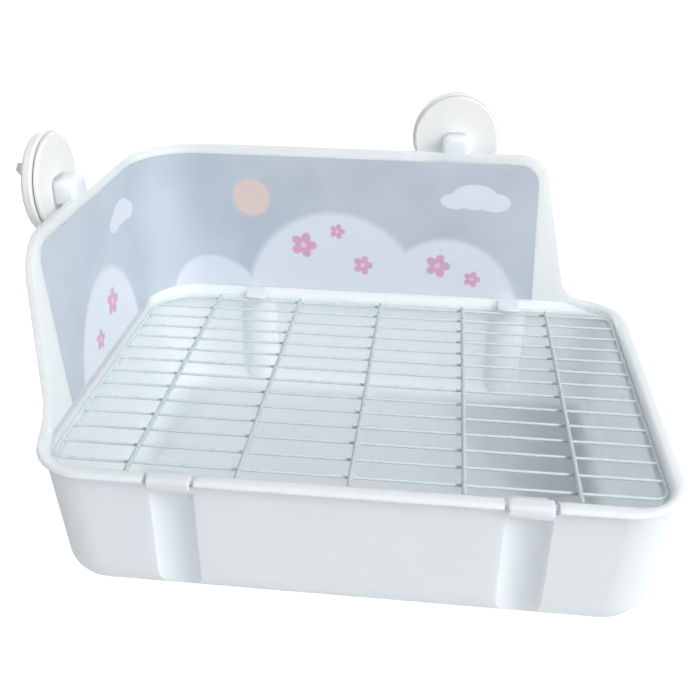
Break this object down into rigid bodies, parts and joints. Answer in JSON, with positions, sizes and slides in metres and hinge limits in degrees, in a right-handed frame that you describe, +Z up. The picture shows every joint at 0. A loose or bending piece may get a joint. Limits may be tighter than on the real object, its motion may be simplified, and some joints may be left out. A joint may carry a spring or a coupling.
{
  "type": "rabbit litter box",
  "caption": "Corner litter box with a deep pan, an L-shaped splash wall, a hinged wire grid held by rim clips, and screw clamps that hold it to a cage.",
  "frame": {"origin": "middle of the pan's underside, on the surface it stands on", "axes": "+X runs to the right along the box's length, +Y to the back wall, +Z up"},
  "size_m": [0.3343, 0.2477, 0.1988],
  "materials": {
    "tub_plastic": "smooth moulded white plastic with a soft gloss",
    "print_film": "smooth printed film in blue-grey with pale shapes",
    "grid_wire": "pale plastic-dipped steel wire, smooth and slightly glossy",
    "clamp_plastic": "smooth moulded white plastic",
    "nut_plastic": "smooth moulded white plastic, slightly greyer",
    "screw_plastic": "moulded nylon screw",
    "washer_steel": "zinc plated flat washer",
    "grip_pad": "thin soft grip pad, pale tan"
  },
  "bodies": {
    "tub_body": {"tub": "tub_plastic", "wall_print_film": "print_film", "left_clamp_screw": "screw_plastic", "left_clamp_inner_disc": "clamp_plastic", "left_clamp_pad": "grip_pad", "back_clamp_screw": "screw_plastic", "back_clamp_inner_disc": "clamp_plastic", "back_clamp_pad": "grip_pad"},
    "grid": {"grid_frame_wire": "grid_wire", "grid_cross_wires": "grid_wire", "grid_bars": "grid_wire"},
    "left_clip": {"front_left_clip": "tub_plastic"},
    "right_clip": {"front_right_clip": "tub_plastic"},
    "left_jaw": {"left_clamp_outer_disc": "clamp_plastic", "left_clamp_washer": "washer_steel"},
    "left_nut": {"left_clamp_wing_nut": "nut_plastic"},
    "back_jaw": {"back_clamp_outer_disc": "clamp_plastic", "back_clamp_washer": "washer_steel"},
    "back_nut": {"back_clamp_wing_nut": "nut_plastic"}
  },
  "joints": [
    {"name": "grid_tilt", "type": "hinge", "parent": "tub_body", "child": "grid", "pos_m": [0, 0.09055, 0.06975], "axis": [-1, 0, 0], "range_deg": [0, 60]},
    {"name": "left_clip_hinge", "type": "hinge", "parent": "tub_body", "child": "left_clip", "pos_m": [-0.0814, -0.1035, 0.0714], "axis": [1, 0, 0], "range_deg": [0, 30]},
    {"name": "right_clip_hinge", "type": "hinge", "parent": "tub_body", "child": "right_clip", "pos_m": [0.0814, -0.1035, 0.0714], "axis": [1, 0, 0], "range_deg": [0, 30]},
    {"name": "left_jaw_slide", "type": "slide", "parent": "tub_body", "child": "left_jaw", "axis": [-1, 0, 0], "range_m": [0, 0.005]},
    {"name": "left_nut_spin", "type": "hinge", "parent": "left_jaw", "child": "left_nut", "pos_m": [-0.1742, 0.0085, 0.172], "axis": [-1, 0, 0], "range_deg": [0, 900]},
    {"name": "back_jaw_slide", "type": "slide", "parent": "tub_body", "child": "back_jaw", "axis": [0, 1, 0], "range_m": [0, 0.005]},
    {"name": "back_nut_spin", "type": "hinge", "parent": "back_jaw", "child": "back_nut", "pos_m": [0.0415, 0.1306, 0.172], "axis": [0, 1, 0], "range_deg": [0, 900]}
  ],
  "couplings": [
    {"joint": "left_nut_spin", "follows": "left_jaw_slide", "rad_per_m": 3141.6},
    {"joint": "back_nut_spin", "follows": "back_jaw_slide", "rad_per_m": 3141.6}
  ]
}
